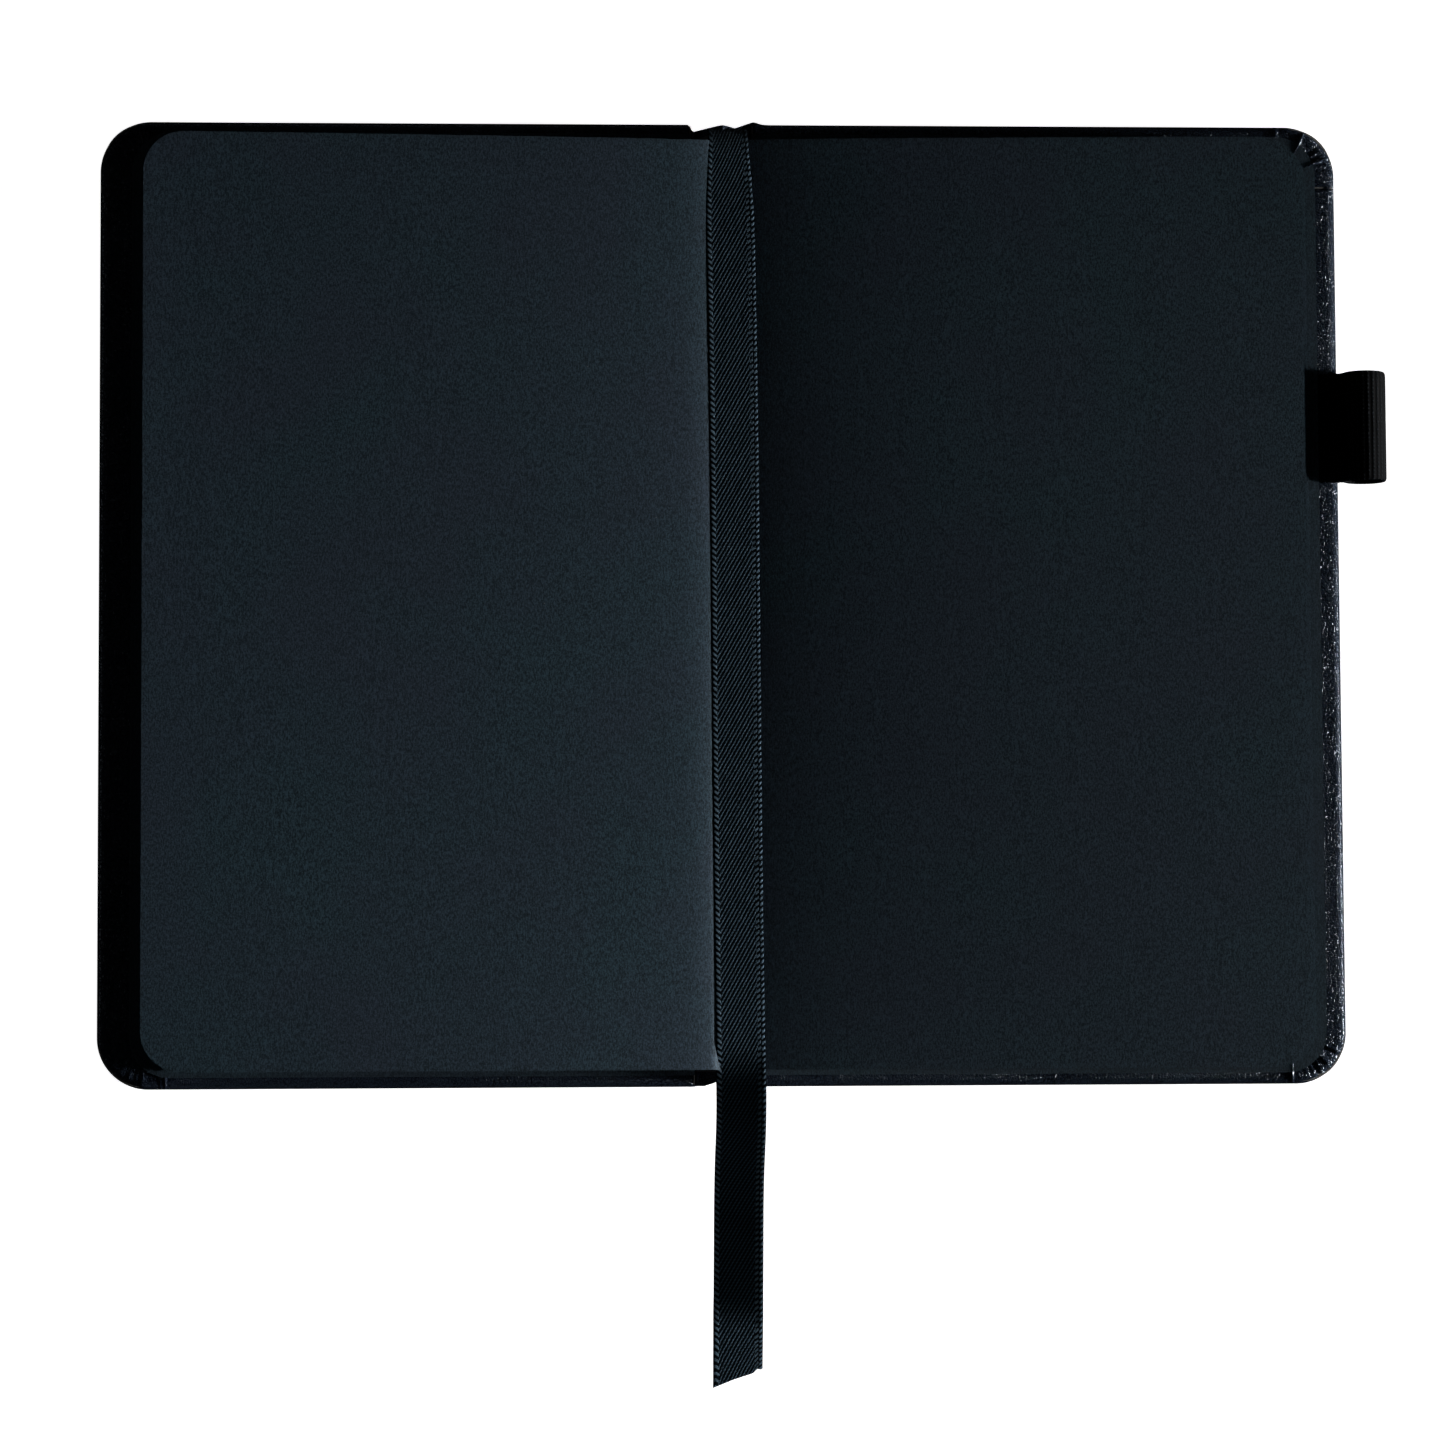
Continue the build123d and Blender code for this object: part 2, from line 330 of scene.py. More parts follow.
def open_sheet(front, back):
    """A sheet of the open signature: a front leaf and a back leaf, joined in the gutter."""
    edges = [fore_edge(-1, front), fore_edge(1, back)]
    left = [(-d, leaf_height(-1, front, d)) for d in leaf_stations(edges[0], FRONT_ROOT)]
    right = [(d, leaf_height(1, back, d)) for d in leaf_stations(edges[1], BACK_ROOT)][::-1]
    path = [(x, z, x) for x, z in left[:-1] + valley_path(front, back) + right[1:]]
    half = PAGE_HALF - 0.05
    return paper_strip(path, lambda x: half_height(abs(x), edges[0 if x < 0 else 1], half))


def trim_head(points):
    """Pages stand a little lower at the head, and on the left more so towards the gutter."""
    placed = []
    for x, y, z in points:
        outer, inner = HEAD_TRIM[-1 if x < 0 else 1]
        cut = inner + (outer - inner) * min(abs(x) / COVER_REACH, 1)
        share = (y + PAGE_HALF) / (2 * PAGE_HALF)
        placed.append((x, y - cut * share + TAIL_TRIM * (1 - share), z))
    return placed


def page_wave(x, y, side):
    """Slight unevenness of a page that lies free."""
    lift = math.sin(0.047 * x * side + 0.9) * math.sin(0.031 * y + 0.4 * side)
    return 0.05 * lift + 0.035 * math.sin(0.021 * x + 0.064 * y)


def top_page(side):
    """The open page on one side, down into the gutter."""
    front, back = FRONT_LEAVES - 1, BACK_LEAVES - 1
    edge = -FRONT_FORE_EDGE[1] if side < 0 else BACK_FORE_EDGE[1]
    root = FRONT_ROOT if side < 0 else BACK_ROOT
    ds = [edge - PAGE_CORNER + PAGE_CORNER * math.sin(math.radians(a))
          for a in (90, 87, 83, 78, 72, 65, 57, 48, 38, 27, 15, 3)]
    ds += list(np.linspace(edge - PAGE_CORNER - 2, 22, 22))
    ds += list(np.geomspace(19.5, root + 0.15, 20))
    outline = [(side * d, leaf_height(side, front if side < 0 else back, d)) for d in ds]
    valley = [p for p in valley_path(front, back) if VALLEY_GAP < p[0] * side <= root + 0.01]
    outline += valley if side < 0 else valley[::-1]
    across = np.linspace(-1, 1, 37)
    rows = []
    for i, (x, z) in enumerate(outline):
        half = half_height(abs(x), edge, PAGE_HALF)
        ys = [half * a for a in across]
        free = 1 - math.exp(-abs(x) / 14)
        top = [(x, y, z + PAPER / 2 + free * page_wave(x, y, side)) for y in ys]
        rows.append(top + [(px, py, pz - PAPER) for px, py, pz in top[::-1]])
    return loft(rows)


# ---------------------------------------------------------------- covering

def outline_stations():
    """Places round the open case: (x, y, inward x, inward y, corner).

    At a corner the last is (angle that the corner starts from, degrees turned), else None.
    """
    reach, half, r = COVER_REACH, COVER_HALF, COVER_CORNER
    spine = list(np.linspace(-0.7, 0.7, 15))
    spine = [-4.6, -4.3, -4.0, -3.2, -2.0, -1.1] + spine + [1.1, 2.0, 3.2, 4.0, 4.3, 4.6]
    flat = [5.4, 5.9, 6.5, 7.2, 9, 12, 25, 45, 65, 78]
    head = [-x for x in flat[::-1]] + [-5.0] + spine + [5.0] + flat
    path = [(x, half, 0, -1, None) for x in head]
    path += corner_stations(reach - r, half - r, r, 90)
    path += [(reach, y, -1, 0, None) for y in np.linspace(half - r - 4, -half + r + 4, 25)]
    path += corner_stations(reach - r, -half + r, r, 0)
    path += [(x, -half, 0, 1, None) for x in head[::-1]]
    path += corner_stations(-reach + r, -half + r, r, -90)
    path += [(-reach, y, 1, 0, None) for y in np.linspace(-half + r + 4, half - r - 4, 25)]
    path += corner_stations(-reach + r, half - r, r, -180)
    return path


def corner_stations(x, y, r, start):
    """Stations round one corner, and a little way along the straight edges before and after it."""
    made = []
    for turn in np.linspace(-24, 114, 139):
        arc = clamp(turn, 0, 90)
        past = math.radians(turn - arc) * r
        c, s = math.cos(math.radians(start - arc)), math.sin(math.radians(start - arc))
        made.append((x + r * c + past * s, y + r * s - past * c, -c, -s, (start, turn)))
    return made


def spine_height(x):
    """Height of the outer face of the covering between the boards: a steep roof, round on top."""
    if abs(x) >= SPINE_FOOT + 0.4:
        return 0.0
    ridge = math.hypot(x, FOLD_RADIUS) - FOLD_RADIUS
    height = SPINE_TOP * (1 - ridge / (SPINE_FOOT - FOLD_RADIUS))
    return max(height, 0.0)


def edge_profile():
    """(inward distance, share of the thickness) from the turn-in round the edge to the bottom."""
    top = [(TURN_IN_SHOWN, 1.0), (4.6, 1.0), (3.3, 1.0), (2.4, 1.0), (1.8, 0.995)]
    arc = [(EDGE_RADIUS * (1 - math.sin(a)), 0.5 + 0.5 * math.cos(a))
           for a in (math.pi * k / 14 for k in range(15))]
    return top + arc + [(1.9, 0.0), (3.0, 0.0), (TURN_IN_SHOWN, 0.0)]


# Folds of the turned-in leather by the angle that each corner starts from: (degrees turned,
# height in millimetres, width in degrees). The band of the turn-in that they cross is last.
PLEATS = {90: [(-10, 0.2, 1.8), (24, 0.4, 1.8), (67, 0.4, 1.8), (103, -0.5, 2.6), (46, -0.15, 7)],
          0: [(-3, 0.2, 1.6), (29, -0.35, 2.6), (45, 0.2, 4.0), (62, -0.35, 2.6), (95, 0.3, 1.3)],
          -90: [(-19, 0.2, 1.1), (-14, 0.15, 1.1), (8, 0.12, 2.5)],
          -180: [(108, 0.2, 1.6), (75, 0.12, 1.6)]}
PLEAT_MIDDLE = 2.6
PLEAT_REACH = 2.4


def pleat(corner, inward, share):
    """How far the gathered turn-in stands up at a corner."""
    if corner is None or share < 0.3:
        return 0.0
    start, turn = corner
    grow = math.exp(-((inward - PLEAT_MIDDLE) / PLEAT_REACH) ** 2)
    folds = sum(height * math.exp(-((turn - at) / width) ** 2)
                for at, height, width in PLEATS[start])
    wrinkle = math.sin(math.radians(turn * 29 + 60 * math.sin(math.radians(turn * 5 + start))))
    return grow * (folds + 0.035 * wrinkle * math.exp(-((turn - 45) / 50) ** 2))


def recess(x, blend, head):
    """How far the covering's end stands back between the boards; it bulges beside the ribbon."""
    if not head:
        return blend * (0.1 + 0.8 * clamp((x + 2.4) / 0.8))
    bulge = BULGE * math.exp(-((x - BULGE_PLACE) / BULGE_WIDTH) ** 2)
    return (COVER_HALF - SPINE_HALF) * blend * clamp((3.6 - x) / 1.4) - bulge


def covering_points(stations):
    """A row of points from the turn-in, round the edge, to the bottom, at each station."""
    profile = edge_profile()
    rows = []
    for x, y, nx, ny, corner in stations:
        along_end = abs(ny) > 0.5
        spine = abs(x) < SPINE_FOOT + 0.2 and along_end
        blend = clamp((GAP_HALF - abs(x)) / GAP_BLEND) if along_end else 0
        base = spine_height(x) if spine else 0.0
        thick = PASTEDOWN_BOTTOM * (1 - blend) + GAP_THICK * blend
        radius = 1 - 0.7 * blend
        shift = recess(x, blend, ny < 0) if along_end and abs(x) < 12 else 0.0
        row = []
        for inward, share in profile:
            d = inward * radius + shift if inward < 1.5 else inward + shift
            z = base + thick * share + pleat(corner, inward, share)
            row.append((x + nx * d, y + ny * d, z))
        rows.append(row)
    return rows


def covering():
    """The whole covering in one: turned edges, undersides and the roof of the spine."""
    stations = outline_stations()
    rows = covering_points(stations)
    count = len(rows[0])
    points, faces = loft(rows + [rows[0]], ring=False)
    total = len(rows) * count
    points = points[:total]
    faces = [tuple(i % total for i in face) for face in faces]
    heads = [i for i, s in enumerate(stations) if s[3] == -1 and s[4] is None]
    tails = [i for i, s in enumerate(stations) if s[3] == 1 and s[4] is None][::-1]
    xs = [stations[i][0] for i in heads]
    inner = [i * count + count - 1 for i in range(len(rows))]
    first, last = xs.index(-5.0), xs.index(5.0)
    for k in range(first, last):
        faces.append((inner[heads[k]], inner[heads[k + 1]], inner[tails[k + 1]], inner[tails[k]]))
    right = inner[heads[last]:tails[last] + 1]
    left = inner[tails[first]:] + inner[:heads[first] + 1]
    faces += [tuple(right), tuple(left)]
    return points, faces


# ---------------------------------------------------------------- ribbon

def route_points():
    """Points along the NURBS line through the ribbon's route, in the shared frame, in metres."""
    curve = bpy.data.curves.new("ribbon_route", "CURVE")
    curve.dimensions = "3D"
    spline = curve.splines.new("NURBS")
    spline.points.add(len(RIBBON_ROUTE) - 1)
    for point, (x, y, z) in zip(spline.points, RIBBON_ROUTE):
        point.co = (x * MM + GUTTER, y * MM, z * MM, 1)
    spline.order_u = 3
    spline.use_endpoint_u = True
    spline.resolution_u = 48
    holder = bpy.data.objects.new("ribbon_route", curve)
    mesh = bpy.data.meshes.new_from_object(holder)
    line = np.array([v.co for v in mesh.vertices])
    bpy.data.objects.remove(holder)
    bpy.data.meshes.remove(mesh)
    return line


def even_steps(line, step):
    """Points a step apart along a line, and each one's distance along it."""
    along = np.concatenate([[0], np.cumsum(np.linalg.norm(np.diff(line, axis=0), axis=1))])
    count = int(along[-1] / step)
    places = np.linspace(0, along[-1], count + 1)
    return np.stack([np.interp(places, along, line[:, k]) for k in range(3)], 1), places


def ribbon_half_width(s):
    """Half the ribbon's width at distance s from its head, where it is folded narrower."""
    return RIBBON_SHOWN / 2 * (1 - HEAD_NARROWING * math.exp(-(s / HEAD_RUN) ** 2))


def ribbon_section(s, half):
    """(across, height) round the ribbon: a flat band between two stitched cords."""
    beat = 0.5 + 0.5 * math.cos(2 * math.pi * s / STITCH)
    cord = 0.02 + 0.03 * beat
    across = [-1.0, -0.97, -0.9, -0.83, -0.79, -0.6, -0.2, 0.2, 0.6, 0.79, 0.83, 0.9, 0.97, 1.0]
    swell = [-2.2, 0.2, 1.0, 0.5, 0.0, 0.0, 0.0, 0.0, 0.0, 0.0, 0.5, 1.0, 0.2, -2.2]
    top = [(a * half, RIBBON_THICK / 2 - 0.04 + cord * w) for a, w in zip(across, swell)]
    return top + [(a, -h) for a, h in top[::-1]]


def ribbon():
    """The ribbon as a band that is swept along its route and rolled as it goes."""
    line = route_points()
    middle, places = even_steps(line, RIBBON_STEP * MM)
    middle, places = middle / MM - (GUTTER / MM, 0, 0), places / MM
    runs = np.gradient(middle, axis=0)
    runs /= np.linalg.norm(runs, axis=1)[:, None]
    rows, rest = [], []
    for centre, run, s in zip(middle, runs, places):
        roll = math.radians(np.interp(s, *zip(*RIBBON_ROLL)))
        side = Vector((math.cos(roll), 0, math.sin(roll)))
        side = (side - Vector(run) * side.dot(Vector(run))).normalized()
        up = side.cross(Vector(run))
        section = ribbon_section(s, ribbon_half_width(s))
        left = places[-1] - s
        rows.append([np.array(centre) + np.array(side) * a + np.array(up) * h
                     + ribbon_cut(a, left) for a, h in section])
        widen = RIBBON_SHOWN / 2 / ribbon_half_width(s)
        rest += [(a * widen, s, h) for a, h in section]
    points, faces = loft(rows)
    piece = new_piece("ribbon_bookmark", points, faces, satin(), places=rest)
    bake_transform(piece)
    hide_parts("ribbon")
    return piece


def ribbon_cut(across, left):
    """The slanted, slightly frayed cut at the ribbon's end."""
    share = max(1 - left / CUT_RUN, 0)
    fray = 0.25 * math.sin(2.3 * across + 0.8) + 0.12 * math.sin(7.1 * across)
    slant = across / (RIBBON_WIDTH / 2) * CUT_SLANT + fray
    return np.array([0, share * (slant + 0.2), 0])


# ---------------------------------------------------------------- pen loop

def loop_path():
    """Middle line of the webbing in X and Z: out from under the end paper, and round the loop."""
    ring_x, ring_z, r = LOOP_REACH - LOOP_RADIUS, LOOP_MIDDLE_Z, LOOP_RADIUS - WEBBING / 2
    neck = [(88.2, 2.6), (89.2, 2.64), (90.3, 2.82), (91.4, 2.98), (92.3, 3.15), (92.95, 3.45)]
    turn = [(ring_x + r * math.cos(math.radians(a)), ring_z + r * math.sin(math.radians(a)))
            for a in range(150, -166, -9)]
    tail = [(93.1, 2.55), (92.75, 2.72)]
    return smooth_line(neck + turn + tail)


def smooth_line(points):
    """Evenly spaced points on a line through the given ones, with its kinks eased."""
    line = np.array([(x, 0, z) for x, z in points], float)
    line, _ = even_steps(line, LOOP_STEP)
    for _ in range(30):
        line[1:-1] = (line[:-2] + 2 * line[1:-1] + line[2:]) / 4
    return line


def pen_loop():
    """The webbing as a ribbed band swept round the loop."""
    line = loop_path()
    runs = np.gradient(line, axis=0)
    runs /= np.linalg.norm(runs, axis=1)[:, None]
    across = [-1, -0.985, -0.955, -0.9, -0.6, -0.3, 0, 0.3, 0.6, 0.9, 0.955, 0.985, 1]
    fall = [0.25, 0.7, 0.95, 1, 1, 1, 1, 1, 1, 1, 0.95, 0.7, 0.25]
    rows, rest = [], []
    for i, (centre, run) in enumerate(zip(line, runs)):
        s = i * LOOP_STEP
        out = np.array([-run[2], 0, run[0]])
        thin = clamp((centre[0] - NECK) / 2.6, 0.35)
        half = WEBBING / 2 * thin * (0.9 + 0.1 * math.cos(2 * math.pi * s / RIB))
        ring = [(a, half * f) for a, f in zip(across, fall)]
        ring += [(a, -h) for a, h in ring[::-1]]
        rows.append([centre + out * h + (0, LOOP_MIDDLE_Y + a * LOOP_HALF, 0) for a, h in ring])
        rest += [(s, a * LOOP_HALF, h) for a, h in ring]
    points, faces = loft(rows)
    piece = new_piece("pen_loop_webbing", points, faces, elastic(), crease=60, places=rest)
    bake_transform(piece)
    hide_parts("pen_loop")
    return piece


# ---------------------------------------------------------------- materials

# Colours, linear, with alpha
PAPER_GREEN = (0.043, 0.084, 0.110, 1)
PAPER_BLUE = (0.055, 0.079, 0.116, 1)
PAPER_PIT = (0.0035, 0.0065, 0.0095, 1)
PAPER_CLOUD = (0.02, 0.032, 0.043, 1)
PAPER_SPECK = (0.11, 0.125, 0.13, 1)
PAPER_PLAIN = (0.004, 0.007, 0.01, 1)
LEATHER_PIT = (0.0015, 0.0022, 0.004, 1)
LEATHER_TOP = (0.015, 0.0212, 0.033, 1)
LEATHER_WORN = (0.014, 0.02, 0.031, 1)
# Satin: yarn and stitch colours carry painted sheen; the gap colour is painted shade
SATIN_GAP_SHADE = (0.0009, 0.0014, 0.0022, 1)
SATIN_YARN_AND_SHEEN = (0.025, 0.045, 0.064, 1)
SATIN_STITCH_AND_SHEEN = (0.058, 0.09, 0.118, 1)
# Painted shade where the ribbon's head comes up out of the spine
SATIN_HEAD_SHADE = (0.002, 0.003, 0.004, 1)
# Elastic: the gap colour is painted shade between the knots
ELASTIC_GAP_SHADE = (0.0005, 0.0006, 0.0008, 1)
ELASTIC_KNOT = (0.012, 0.0165, 0.02, 1)
CLOTH_DARK, CLOTH_PALE = (0.004, 0.004, 0.005, 1), (0.02, 0.021, 0.024, 1)
THREAD_DARK, THREAD_PALE = (0.02, 0.02, 0.02, 1), (0.08, 0.08, 0.08, 1)
BOARD_DARK, BOARD_PALE = (0.14, 0.13, 0.12, 1), (0.27, 0.26, 0.24, 1)
FLOOR_DARK, FLOOR_PALE = (0.86, 0.86, 0.86, 1), (0.88, 0.88, 0.88, 1)
WHITE = (1, 1, 1, 1)

# Weave of the ribbon, in millimetres
TWILL = 0.52  # pitch of the diagonal lines
YARN = 0.42  # pitch of the yarns across them
LEFT_SELVEDGE = -2.9  # where the twill ends and the stitches begin
RIGHT_SELVEDGE = 2.5
STITCH_ROWS = 3.05  # line between the two rows of stitches on the right


def node(tree, kind, inputs=(), **settings):
    """A shader node with its settings and inputs; an input is a value or another node's output."""
    made = tree.nodes.new("ShaderNode" + kind)
    for name, value in settings.items():
        setattr(made, name, value)
    for name, value in dict(inputs).items():
        if isinstance(value, bpy.types.NodeSocket):
            tree.links.new(value, made.inputs[name])
        else:
            made.inputs[name].default_value = value
    return made


def new_material(name, **surface):
    """A material with one Principled shader, its tree and its shader."""
    material = bpy.data.materials.new(name)
    material.use_nodes = True
    shader = material.node_tree.nodes["Principled BSDF"]
    for key, value in surface.items():
        shader.inputs[key.replace("_", " ")].default_value = value
    return material, material.node_tree, shader


def drive(tree, shader, **outputs):
    """Links each node output to the shader's input of that name."""
    for key, output in outputs.items():
        tree.links.new(output, shader.inputs[key.replace("_", " ")])


def place_of(tree, carried=False):
    """Place in millimetres: at rest for a new piece, in its own object for a carried-over node."""
    if not carried:
        return node(tree, "Attribute", attribute_name="rest_mm").outputs["Vector"]
    where = node(tree, "TexCoord").outputs["Object"]
    return math_of(tree, where, (1 / MM,) * 3, "MULTIPLY")


def math_of(tree, vector, by, operation):
    return node(tree, "VectorMath", {0: vector, 1: by}, operation=operation).outputs["Vector"]


def number(tree, operation, *values):
    return node(tree, "Math", dict(enumerate(values)), operation=operation).outputs[0]


def times(tree, a, b):
    return number(tree, "MULTIPLY", a, b)


def plus(tree, a, b):
    return number(tree, "ADD", a, b)


def wave(tree, value, pitch, shape="SINE"):
    return number(tree, shape, times(tree, value, 2 * math.pi / pitch))


def noise(tree, place, scale, detail=4.0, roughness=0.55, stretch=(1, 1, 1)):
    at = math_of(tree, place, stretch, "MULTIPLY")
    return node(tree, "TexNoise", {"Vector": at, "Scale": scale, "Detail": detail,
                                   "Roughness": roughness}).outputs["Fac"]


def cells(tree, place, scale, feature="F1"):
    """Voronoi cells, with their edges and centres as irregular as they come."""
    return node(tree, "TexVoronoi", {"Vector": place, "Scale": scale, "Randomness": 1.0},
                feature=feature).outputs


def ramp(tree, value, low, high, to_low=0.0, to_high=1.0):
    inputs = {"Value": value, 1: low, 2: high, 3: to_low, 4: to_high}
    return node(tree, "MapRange", inputs).outputs[0]


def mix(tree, share, a, b):
    return node(tree, "Mix", {0: share, 6: a, 7: b}, data_type="RGBA").outputs[2]


def bump(tree, shader, height, distance, strength=1.0):
    """distance is in millimetres."""
    made = node(tree, "Bump", {"Height": height, "Distance": distance * MM, "Strength": strength})
    drive(tree, shader, Normal=made.outputs["Normal"])


def paper(name="black_drawing_paper", carried=False, depth=1.0):
    """Blue-black drawing paper: fine upright fibres, a felt surface and a few pale specks.

    A lower depth brings it nearer to one plain colour.
    """
    material, tree, shader = new_material(name, Roughness=0.6, Specular_IOR_Level=0.35,
                                          Specular_Tint=(0.8, 0.94, 1, 1))
    at = place_of(tree, carried)
    cloud = noise(tree, at, 0.045, 3)
    felt = noise(tree, at, 4.2, 5, 0.62)
    fibre = noise(tree, at, 4.4, 5, 0.62, (1.3, 0.42, 1))
    tone = plus(tree, times(tree, fibre, 0.55), times(tree, felt, 0.45))
    hue = mix(tree, ramp(tree, cloud, 0.35, 0.65), PAPER_GREEN, PAPER_BLUE)
    base = mix(tree, ramp(tree, tone, 0.42, 0.6), PAPER_PIT, hue)
    base = mix(tree, ramp(tree, cloud, 0.3, 0.7, 0, 0.3), base, PAPER_CLOUD)
    specks = cells(tree, at, 0.3)
    draw = node(tree, "SeparateColor", {0: specks["Color"]}).outputs[0]
    chosen = ramp(tree, draw, 0.9, 0.93)
    near = ramp(tree, specks["Distance"], 0.035, 0.02)
    base = mix(tree, times(tree, chosen, near), base, PAPER_SPECK)
    base = mix(tree, depth, PAPER_PLAIN, base)
    drive(tree, shader, Base_Color=base, Roughness=ramp(tree, felt, 0.3, 0.7, 0.52, 0.66))
    bump(tree, shader, tone, 0.05, 0.7)
    return material


def leather(name="covering_leather", carried=False):
    """Black PU leather with a fine pebble grain, duller in its pores and paler where worn."""
    material, tree, shader = new_material(name, Roughness=0.2, Specular_IOR_Level=0.18,
                                          Specular_Tint=(0.72, 0.86, 1, 1))
    at = place_of(tree, carried)
    wobble = node(tree, "TexNoise", {"Vector": at, "Scale": 1.1, "Detail": 3.0}).outputs["Color"]
    bent = math_of(tree, at, math_of(tree, wobble, (0.5, 0.5, 0.5), "MULTIPLY"), "ADD")
    grain = cells(tree, bent, 2.1, "DISTANCE_TO_EDGE")["Distance"]
    pebble = ramp(tree, grain, 0.0, 0.16)
    pores = noise(tree, at, 5.5, 4, 0.6)
    worn = noise(tree, at, 0.09, 3)
    height = plus(tree, times(tree, pebble, 0.7), times(tree, pores, 0.3))
    base = mix(tree, ramp(tree, height, 0.2, 0.9), LEATHER_PIT, LEATHER_TOP)
    base = mix(tree, ramp(tree, worn, 0.45, 0.75, 0, 0.5), base, LEATHER_WORN)
    drive(tree, shader, Base_Color=base, Roughness=ramp(tree, pores, 0.3, 0.7, 0.16, 0.24))
    bump(tree, shader, height, 0.077, 0.9)
    return material


def satin():
    """Satin ribbon: steep diagonal twill, with slanted stitches in one row on the left and two on
    the right. Here rest_mm is (across from the middle, along from the head, height)."""
    material, tree, shader = new_material("ribbon_satin_weave", Roughness=0.6,
                                          Specular_Tint=(0.5, 0.8, 1, 1))
    at = node(tree, "SeparateXYZ", {0: place_of(tree)})
    x, s = at.outputs["X"], at.outputs["Y"]
    distance = number(tree, "ABSOLUTE", x)

    slope = plus(tree, times(tree, x, 0.87), times(tree, s, 0.5))
    yarns = times(tree, wave(tree, s, YARN), 0.35)
    weave = ramp(tree, plus(tree, wave(tree, slope, TWILL), yarns), 0.0, 1.0)

    slant = plus(tree, times(tree, distance, 0.7), s)
    slant = plus(tree, slant, ramp(tree, x, STITCH_ROWS - 0.02, STITCH_ROWS + 0.02, 0, STITCH / 2))
    stitch = ramp(tree, wave(tree, slant, STITCH), -0.3, 0.5)
    off_line = number(tree, "ABSOLUTE", number(tree, "SUBTRACT", x, STITCH_ROWS))
    # Painted shade: past 3.5 mm out, the rolled edges lose their stitches and go near black
    stitch_line_and_edge_shade = times(tree, ramp(tree, off_line, 0.03, 0.12), ramp(tree, distance, 3.66, 3.5))
    stitch = times(tree, stitch, stitch_line_and_edge_shade)

    edge = plus(tree, ramp(tree, x, LEFT_SELVEDGE + 0.04, LEFT_SELVEDGE - 0.04),
                ramp(tree, x, RIGHT_SELVEDGE - 0.04, RIGHT_SELVEDGE + 0.04))
    height = node(tree, "Mix", {0: edge, 2: weave, 3: stitch}, data_type="FLOAT").outputs[0]
    fuzz = noise(tree, place_of(tree), 3.0, 4, 0.6)
    lit = times(tree, height, ramp(tree, fuzz, 0.25, 0.75, 0.55, 1.25))
    # Painted sheen on the raised yarns and stitches, painted shade in the hollows between
    base = mix(tree, lit, SATIN_GAP_SHADE, mix(tree, edge, SATIN_YARN_AND_SHEEN, SATIN_STITCH_AND_SHEEN))
    # Painted shade: near black for the first millimetres from the head, in the spine's gap
    base = mix(tree, ramp(tree, s, 1.2, 4.6), SATIN_HEAD_SHADE, base)
    gloss = times(tree, ramp(tree, distance, 3.6, 3.4, 0, 0.12),
                  ramp(tree, height, 0, 1, 0.3, 1.6))
    drive(tree, shader, Base_Color=base, Specular_IOR_Level=gloss)
    bump(tree, shader, height, 0.05, 0.9)
    return material


def elastic():
    """Ribbed elastic webbing in rows of small knots. Here rest_mm is (along, across, height)."""
    material, tree, shader = new_material("ribbed_elastic", Roughness=0.7, Specular_IOR_Level=0.03)
    at = node(tree, "SeparateXYZ", {0: place_of(tree)})
    s, y = at.outputs["X"], at.outputs["Y"]
    fluff = noise(tree, place_of(tree), 2.4, 5, 0.65)
    loose = plus(tree, y, times(tree, fluff, 0.15))
    rows = ramp(tree, wave(tree, s, RIB, "COSINE"), 0, 0.8)
    knots = ramp(tree, wave(tree, loose, KNOT, "COSINE"), -0.3, 0.7)
    height = times(tree, rows, times(tree, knots, ramp(tree, fluff, 0.3, 0.7)))
    # Painted shade: low places between rows and knots go near black; knots keep their colour
    drive(tree, shader, Base_Color=mix(tree, height, ELASTIC_GAP_SHADE, ELASTIC_KNOT))
    bump(tree, shader, height, 0.12, 0.8)
    return material


def woven(name, dark, pale, pitch, roughness):
    """Plain weave for the lining cloth and the twisted thread."""
    material, tree, shader = new_material(name, Roughness=roughness)
    at = place_of(tree, carried=True)
    parts = node(tree, "SeparateXYZ", {0: at}).outputs
    cross = times(tree, wave(tree, parts["Y"], pitch), wave(tree, parts["Z"], pitch))
    fuzz = noise(tree, at, 3.5, 4)
    height = plus(tree, times(tree, cross, 0.5), fuzz)
    drive(tree, shader, Base_Color=mix(tree, ramp(tree, height, 0, 1), dark, pale))
    bump(tree, shader, height, 0.06, 0.5)
    return material


def greyboard():
    """Dense grey board of mixed fibres."""
    material, tree, shader = new_material("dense_greyboard", Roughness=0.9)
    fibre = noise(tree, place_of(tree, carried=True), 0.9, 6, 0.65, (1, 0.4, 3))
    drive(tree, shader,
          Base_Color=mix(tree, ramp(tree, fibre, 0.3, 0.7), BOARD_DARK, BOARD_PALE))
    bump(tree, shader, fibre, 0.08, 0.5)
    return material


def floor_white():
    """The white that the book lies on, which glows so that it stays white around it."""
    material, tree, shader = new_material("white_sweep", Roughness=0.9, Specular_IOR_Level=0.0,
                                          Emission_Strength=1.0, Emission_Color=WHITE)
    tone = noise(tree, node(tree, "TexCoord").outputs["Object"], 3.0, 2)
    drive(tree, shader, Base_Color=mix(tree, tone, FLOOR_DARK, FLOOR_PALE))
    return material


# ---------------------------------------------------------------- pieces

def add_covering():
    """One skin for both covers, which bends at the top of the spine's roof."""
    points, faces = covering()
    piece = new_piece("cover_covering", points, faces, leather(), crease=50)
    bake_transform(piece)
    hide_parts("front_cover_skin", "back_cover_skin")


